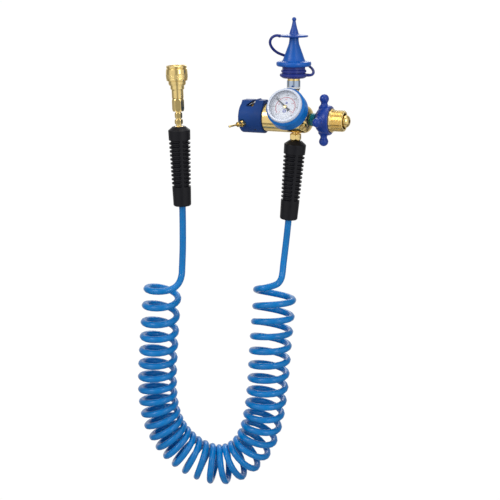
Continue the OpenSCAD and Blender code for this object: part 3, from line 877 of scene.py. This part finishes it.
def add_dial_print():
    """A black scale with two green numbers, a red scale inside it, and two plain blue rings."""
    black = [tick(k) for k in range(31)]
    black += [number(str(500 * k), 14.0, scale_angle(k / 6), 2.1) for k in (2, 3, 4, 5, 6)]
    add_mesh("dial_scale", joined(*black), GAUGE, print_black, ROOT, sharp=20)
    low = [number(str(500 * k), 13.6, scale_angle(k / 6), 2.3) for k in (0, 1)]
    add_mesh("dial_low_numbers", joined(*low), GAUGE, print_green, ROOT, sharp=20)
    red_step = 0.2415
    red = [band(11.3, 11.9, scale_angle(0.02), scale_angle(0.98))]
    red += [bar(10.6, 11.3, scale_angle(k / 20), 0.35) for k in range(21)]
    red += [number(str(50 * k), 8.9, scale_angle(k * red_step), 2.2) for k in range(5)]
    add_mesh("dial_red_scale", joined(*red), GAUGE, print_red, ROOT, sharp=20)
    ring = shifted(band(0.9, 2.0, 0, 360), (-0.6, -4.9, 0))
    small_ring = shifted(band(0.3, 1.3, 0, 360), (0.6, 4.9, 0))
    add_mesh("dial_blue_marks", joined(ring, small_ring), GAUGE, print_blue, ROOT, sharp=20)


add_dial_print()


def add_pointer():
    """A flat blade with a broad tail, turned to where it rests on the scale, and its hub."""
    past_zero = 84
    turn = Matrix.Rotation(math.radians(ZERO_ANGLE - past_zero), 4, "Z")
    flat = [
        (-6.6, -1.6), (-5.4, -1.8), (-3.2, -0.9), (0, -1.0), (15.8, -0.4), (15.8, 0.4), (0, 1.0),
        (-3.2, 0.9), (-5.4, 1.8), (-6.6, 1.6),
    ]
    count = len(flat)
    points = [(x, y, z) for z in (37.35, 37.75) for x, y in flat]
    faces = [list(range(count))[::-1], list(range(count, 2 * count))]
    faces += [[i, (i + 1) % count, count + (i + 1) % count, count + i] for i in range(count)]
    blade = points, faces
    at = GAUGE @ turn
    add_mesh("pointer_blade", blade, at, print_black, "pointer", ("gauge_pointer",), 20)
    hub = turned(rounded([(0, 37.3), (1.9, 37.3), (1.9, 38.1), (1.4, 38.6), (0, 38.6)], 0.2), 48)
    add_mesh("pointer_hub", hub, GAUGE, bright_brass, "pointer")


add_pointer()


# ---- Push valve and nozzles ----

def add_push_stack():
    barrel = rounded([
        (6.05, 37.2), (7.85, 37.2), (7.85, 44.3), (7.42, 44.3), (7.42, 39.5), (6.05, 39.5),
    ], 0.22, True)
    solid = turned(barrel, 128, True)
    add_mesh("chrome_barrel", solid, NOZZLE, chrome, ROOT, ("valve_barrel",))
    washer = rounded([(6.02, 35), (7.9, 35), (7.9, 37.2), (6.02, 37.2)], 0.35, True)
    solid = turned(washer, 128, True)
    add_mesh("washer_ring", solid, NOZZLE, white_nylon, ROOT, ("white_washer",))
    ring = rounded([
        (5.4, 47), (12.6, 47, 0.6), (15.9, 49.2, 0.7), (16.15, 50.9, 0.6), (15.2, 52.2, 0.4),
        (13.4, 52.8, 0.3), (13.2, 53.7, 0.1), (5.4, 53.7),
    ], 0.2, True)
    solid = turned(ring, 144, True)
    add_mesh("tether_collar", solid, NOZZLE, tether_blue, "nozzle", ("tether_ring",))


def add_push_nozzle():
    flange = 20.15
    outline = rounded([
        (3.3, 60.3), (flange, 60.3, 2.7), (flange, 66.0, 2.7), (15.0, 66.0, 0.8), (13.2, 66.8, 1.2),
        (12.2, 69.0, 3), (6.0, 85.8, 6), (5.42, 90), (5.3, 92.4, 0.5), (3.3, 92.4, 0.3),
    ], 0.1, True)
    solid = turned(outline, 160, True)
    add_mesh("latex_push_nozzle", solid, NOZZLE, nozzle_blue, "nozzle", ("push_nozzle",))
    # The collar under the flange is dark navy: partly the tether ring's own colour round the nozzle's base, partly
    # painted shade from the flange above it.
    collar = rounded([
        (5.42, 53.72), (14.5, 53.72, 0.4), (14.5, 56.0, 0.5), (13.2, 56.8, 0.5), (13.2, 60.4), (5.42, 60.4),
    ], 0.1, True)
    solid = turned(collar, 144, True)
    add_mesh("push_nozzle_collar_with_painted_shade", solid, NOZZLE, tether_blue, "nozzle")


def add_foil_tip():
    """A plug, a disc and a stepped stem that ends in a ball."""
    outline = [(1.0, 84.5)] + rounded([
        (3.2, 84.5, 0.3), (3.2, 92.5, 0.1), (5.6, 92.5, 0.2), (6.4, 93.0, 0.4), (15.2, 93.4, 0.5),
        (16.3, 94.2, 0.6), (16.2, 95.2, 0.6), (15.2, 95.8, 0.5), (6.6, 96.6, 0.8), (5.2, 97.6, 0.8),
        (4.4, 101, 2), (3.6, 103, 1), (2.3, 108.6, 0.8), (2.0, 110.6, 0.5), (1.9, 111.2),
    ], 0.3)
    outline += arc(0, 113.3, 2.5, -50, 66, 14) + [(1.0, 115.7)]
    solid = turned(outline, 128, True)
    add_mesh("foil_balloon_tip", solid, NOZZLE, tip_blue, "foil_tip", ("foil_tip",))


strap_route = [
    (-16.45, 0, 94.6), (-19, 0, 95.2), (-22.3, 0.5, 94.6), (-25.5, 1.5, 92.3), (-27.2, 3, 88.7),
    (-26.8, 5, 84.5), (-23.8, 8.5, 79.5), (-18.5, 13.5, 75), (-11.5, 18.5, 71.8), (-3, 22.2, 69),
    (6, 23.8, 66), (13.6, 21.8, 62.7), (18.8, 17.2, 59.2), (22.2, 11, 56), (23, 5.4, 53.4),
    (21.8, 1.6, 51.2), (19.2, 0, 50.3), (16.15, 0, 50.3),
]


def strap_radius(t):
    """The strap's radius at t, from 0 to 1 along it; it widens where it joins the disc and the ring."""
    return 1.6 + 0.3 * max(0, 1 - t / 0.05) + 0.3 * max(0, 1 - (1 - t) / 0.05)


def add_strap():
    """The strap; both its ends are sunk into what they join."""
    sunk = Vector((1.2, 0, 0))
    line = smooth_line(vectors(strap_route), 5)
    line[0] += sunk
    line[-1] -= sunk
    at = NOZZLE @ Matrix.Rotation(HANG_TURN, 4, "Z")
    solid = swept(line, strap_radius, 16)
    strap = add_mesh("tether_cord", solid, at, tether_blue, None, ("tether_strap",), 60)
    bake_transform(strap)


add_push_stack()
add_push_nozzle()
add_foil_tip()
add_strap()


# ---- Foil valve, relief valve, valve adapter ----

def add_foil_valve():
    """The housing in the end cap, and the tube in it, with a bead at its mouth."""
    body = rounded([
        (1.25, 8.2), (2.5, 8.2, 0.3), (3.1, 7.5, 0.2), (3.1, 2.6, 0.15), (4.0, 2.6, 0.2), (4.0, 0.4, 0.2),
        (3.3, 0.4, 0.1), (3.3, -9.3), (2, -9.3), (2, 7), (1.25, 7),
    ], 0.15, True)
    solid = turned(refine(body, 0.4, 2.6, 0.3), 120, True, faceted(7.4, 0.4, 2.6, 0.7))
    add_mesh("foil_valve_housing", solid, FOIL, bright_brass, ROOT, ("foil_valve_body",))
    stem = [(0.6, 20.9)] + arc(0, FOIL_TIP_Z, 1.5, 66, -38, 12) + rounded([
        (1.15, 19), (1.15, 6.9, 0.1), (1.9, 6.9, 0.3), (1.9, 4.8, 0.3), (1.15, 4.8, 0.1), (1.15, -1, 0.1),
        (1.9, -1), (1.9, -3), (0.6, -3),
    ], 0.1)
    solid = turned(stem, 64, True)
    add_mesh("foil_nozzle_stem", solid, FOIL, bright_brass, "foil_nozzle", ("foil_nozzle_tube",))


def add_relief_valve():
    outline = rounded([
        (0.8, 9), (2.6, 9), (2.6, 14.5, 0.1), (4.1, 14.5, 0.2), (4.1, 18.5, 0.2), (3.5, 18.5, 0.1),
        (3.5, 20.8, 0.4), (1, 20.8, 0.2), (1, 19.1), (1.9, 19), (1.9, 11), (0.8, 11),
    ], 0.15, True)
    solid = turned(refine(outline, 14.5, 18.5, 0.4), 120, True, faceted(7.6, 14.5, 18.5, 0.8))
    add_mesh("relief_housing", solid, RELIEF, bright_brass, ROOT, ("relief_body",))


def add_valve_adapter():
    outline = rounded([
        (1.8, 30), (4.6, 31), (4.6, 39.5), (6, 39.5, 0.3), (6, 34, 0.1), (6.6, 34, 0.2), (6.6, 27, 0.2),
        (8.6, 27, 0.3), (8.6, 16.2, 0.3), (5, 16.2, 0.1), (5, 9.5), (3, 9.5), (3, 29.9),
    ], 0.15, True)
    solid = turned(refine(outline, 16.2, 27, 0.8), 144, True, faceted(15.6, 16.2, 27, 1.4))
    add_mesh("push_valve_adapter", solid, NOZZLE, brass, ROOT, ("valve_adapter",))


add_foil_valve()
add_relief_valve()
add_valve_adapter()


# ---- Springs ----

def add_spring(node, at, coil, wire, low, high, turns):
    """A compression spring, a wire wound round a helix between two heights; it is tied to no body and follows no
    other part.
    """
    per_turn = 24
    count = turns * per_turn
    first = low + 1.1 * wire
    last = high - 1.1 * wire
    line = []
    for k in range(count + 1):
        angle = 2 * math.pi * k / per_turn
        height = first + (last - first) * k / count
        line.append(Vector((coil * math.cos(angle), coil * math.sin(angle), height)))
    spring = add_mesh(node + "_wire", swept(line, wire, 10), at, steel, None, (node,), 60)
    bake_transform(spring)


add_spring("regulating_spring", ALONG_X, 8, 1.1, -94.4, -77.1, 5)
add_spring("poppet_spring", ALONG_X, 3.4, 0.5, -54.3, -37.2, 7)
add_spring("valve_spring", NOZZLE, 3.4, 0.5, 31.1, 41.9, 5)
add_spring("foil_valve_spring", FOIL, 1.35, 0.3, -7.9, -3.1, 4)
add_spring("relief_spring", RELIEF, 1.35, 0.25, 12.7, 19.9, 6)
add_spring("coupler_spring", FAR, 9, 0.5, 143.5, 152.8, 4)


# ---- Materials of the CAD nodes that stay ----

NODE_LOOKS = {
    turned_brass: ["regulator_body"],
    brass: [
        "spring_plate", "regulating_piston", "inlet_poppet", "inlet_nipple", "gauge_stem", "bourdon_tube",
        "movement_plate", "sector_gear", "valve_plunger", "relief_poppet", "near_ferrule", "coupler_valve",
    ],
    steel: ["cutter_blade", "pinion_shaft", "locking_balls"],
    dark_steel: ["cap_set_screw", "gauge_case"],
    seal_black: ["cap_seal", "piston_seal", "adapter_gasket", "valve_seal", "coupler_seal"],
    white_nylon: ["valve_seat"],
    bronze: ["inlet_filter"],
    dial_white: ["gauge_dial"],
}


def dress_nodes():
    for look, names in NODE_LOOKS.items():
        for name in names:
            node = frame["nodes"][name]
            if not node.material_slots:
                node.data.materials.append(look)
            for slot in node.material_slots:
                slot.material = look


dress_nodes()


# ---- Light and world ----

WORLD = 0.8
WHITE = 1.02 / WORLD
AIM = (-0.08, -0.03, -0.12)


def add_light(name, place, size, power):
    """A rectangular light that is aimed near the part's middle."""
    data = bpy.data.lights.new(name, "AREA")
    data.shape = "RECTANGLE"
    data.size, data.size_y = size
    data.energy = power
    light = bpy.data.objects.new(name, data)
    light.location = place
    light.rotation_mode = "QUATERNION"
    light.rotation_quaternion = (Vector(AIM) - Vector(place)).to_track_quat("-Z", "Y")
    bpy.context.scene.collection.objects.link(light)


def grey_ramp(tree, value, stops):
    """Greys by value, from pairs of place and grey."""
    ramp = tree.nodes.new("ShaderNodeValToRGB")
    while len(ramp.color_ramp.elements) < len(stops):
        ramp.color_ramp.elements.new(0.5)
    for element, (where, grey) in zip(ramp.color_ramp.elements, stops):
        element.position = where
        element.color = (grey, grey, grey, 1)
    tree.links.new(value, ramp.inputs["Fac"])
    return ramp.outputs["Color"]


def add_world():
    """A white studio; polished metal sees a dark gap over the floor, and soft bright and dark strips."""
    world = bpy.data.worlds.new("studio")
    bpy.context.scene.world = world
    world.use_nodes = True
    tree = world.node_tree
    place = tree.nodes.new("ShaderNodeTexCoord")
    parts = tree.nodes.new("ShaderNodeSeparateXYZ")
    lift = tree.nodes.new("ShaderNodeMapRange")
    lift.inputs["From Min"].default_value = -1
    tree.links.new(place.outputs["Generated"], parts.inputs["Vector"])
    tree.links.new(parts.outputs["Z"], lift.inputs["Value"])
    height = grey_ramp(tree, lift.outputs["Result"], [
        (0.0, 0.85), (0.11, 0.80), (0.14, 0.09), (0.17, 0.10), (0.21, 1.0), (0.5, 1.0), (0.7, 1.0),
        (1.0, 1.0),
    ])
    round_about = tree.nodes.new("ShaderNodeTexGradient")
    round_about.gradient_type = "RADIAL"
    tree.links.new(place.outputs["Generated"], round_about.inputs["Vector"])
    strips = grey_ramp(tree, round_about.outputs["Fac"], [
        (0.0, 0.30), (0.06, 0.40), (0.11, 1.0), (0.25, 1.0), (0.29, 0.45), (0.33, 0.45), (0.37, 1.0),
        (0.53, 1.0), (0.58, 0.35), (0.66, 0.30), (0.74, 0.9), (0.90, 0.9), (1.0, 0.30),
    ])
    seen = tree.nodes.new("ShaderNodeLightPath")
    blend = tree.nodes.new("ShaderNodeMix")
    blend.data_type = "RGBA"
    blend.blend_type = "MULTIPLY"
    blend.inputs[0].default_value = 1
    tree.links.new(height, blend.inputs[6])
    tree.links.new(strips, blend.inputs[7])
    pick = tree.nodes.new("ShaderNodeMix")
    pick.data_type = "RGBA"
    pick.inputs[7].default_value = (WHITE, WHITE, WHITE, 1)
    tree.links.new(seen.outputs["Is Camera Ray"], pick.inputs[0])
    tree.links.new(blend.outputs[2], pick.inputs[6])
    tree.links.new(pick.outputs[2], tree.nodes["Background"].inputs["Color"])
    tree.nodes["Background"].inputs["Strength"].default_value = WORLD


add_light("key", (-0.9, -1.3, 0.9), (0.6, 0.9), 7.5)
add_light("fill", (1.25, -1.0, 0.5), (0.5, 1.0), 6)
add_light("top", (0.0, 0.1, 1.5), (1.0, 1.0), 6)
add_light("back", (-0.6, 1.4, 0.7), (0.8, 0.8), 5)
add_world()
bpy.context.scene.view_settings.view_transform = "Standard"
